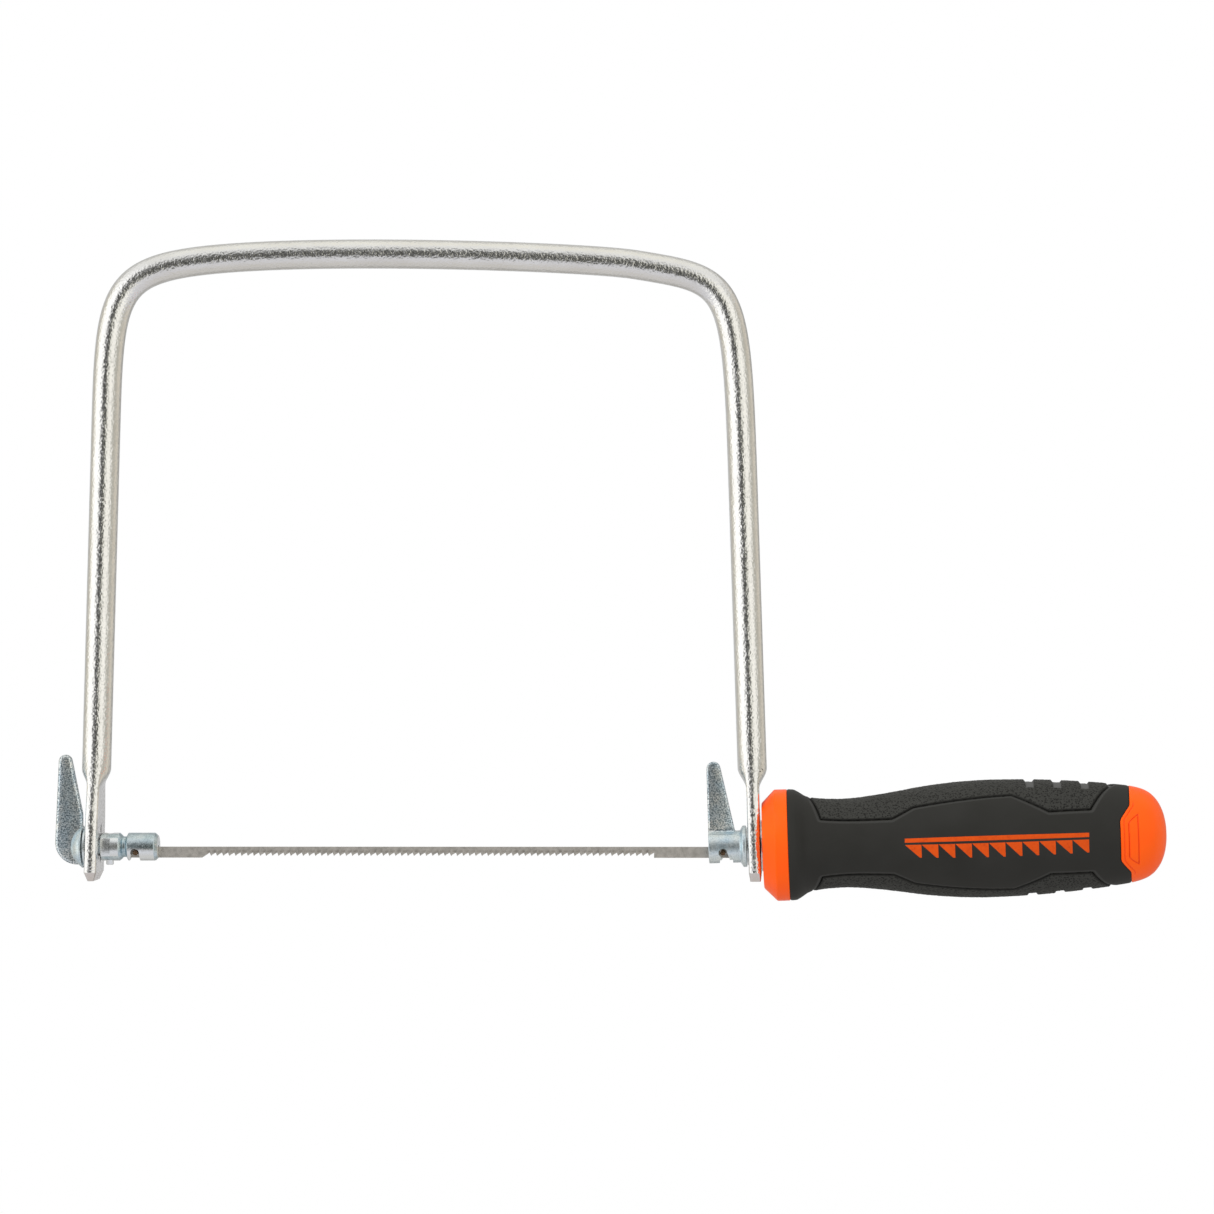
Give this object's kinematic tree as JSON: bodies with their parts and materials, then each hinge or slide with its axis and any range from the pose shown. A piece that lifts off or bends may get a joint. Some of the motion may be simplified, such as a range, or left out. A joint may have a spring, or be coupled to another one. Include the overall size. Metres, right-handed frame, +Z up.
{
  "type": "coping saw",
  "caption": "Coping saw: a U-shaped steel rod bow holding a thin pin-end blade between two swivelling holders, tightened by turning the handle.",
  "frame": {"origin": "underside of the bow's top bar, midway between the legs, where the saw hangs on a hook", "axes": "+X along the blade towards the handle, +Z up from the blade to the bow's top bar, +Y away from the viewer of its side"},
  "size_m": [0.3047, 0.0318, 0.1816],
  "materials": {
    "bow_steel": "satin nickel plating over a drawn rod, fine grain along the rod",
    "zinc_casting": "die-cast, zinc plated, sparkling fine grain with bright rounded borders",
    "plated_steel": "turned steel, bluish zinc plating",
    "blade_steel": "hardened strip steel, brown-grey, ground along its length",
    "pin_steel": "heat-browned steel pin",
    "hard_plastic": "moulded orange plastic, satin gloss",
    "soft_grip": "matt black overmould, stippled on the top and bottom panels"
  },
  "bodies": {
    "frame": {"bow_frame": "bow_steel"},
    "front_holder": {"front_lever": "zinc_casting", "front_spring_washer": "plated_steel", "front_spigot": "plated_steel", "front_cross_pin": "plated_steel"},
    "blade": {"blade": "blade_steel", "blade_pin_front": "pin_steel", "blade_pin_rear": "pin_steel"},
    "rear_slide": {"rear_wear_washer": "plated_steel"},
    "rear_holder": {"rear_holder": "zinc_casting", "tension_screw": "plated_steel"},
    "handle": {"handle_core": "hard_plastic", "handle_nut": "plated_steel", "grip_sleeve": "soft_grip", "handle_thrust_washer": "plated_steel"}
  },
  "joints": [
    {"name": "front_turn", "type": "hinge", "parent": "frame", "child": "front_holder", "pos_m": [-0.0919, 0, -0.1585], "axis": [1, 0, 0], "continuous": true},
    {"name": "blade_release", "type": "slide", "parent": "front_holder", "child": "blade", "axis": [0, 0, -1], "range_m": [0, 0.025]},
    {"name": "handle_turn", "type": "hinge", "parent": "frame", "child": "handle", "pos_m": [0.0814, 0, -0.1585], "axis": [0.9995, 0, 0.0323], "range_deg": [0, 720]},
    {"name": "tension", "type": "slide", "parent": "frame", "child": "rear_slide", "axis": [-0.9995, 0, -0.0323], "range_m": [0, 0.0016]},
    {"name": "rear_turn", "type": "hinge", "parent": "rear_slide", "child": "rear_holder", "pos_m": [0.0814, 0, -0.1585], "axis": [0.9995, 0, 0.0323], "continuous": true}
  ],
  "couplings": [
    {"joint": "tension", "follows": "handle_turn", "m_per_rad": 0.000127},
    {"joint": "rear_turn", "follows": "front_turn", "ratio": 1}
  ]
}
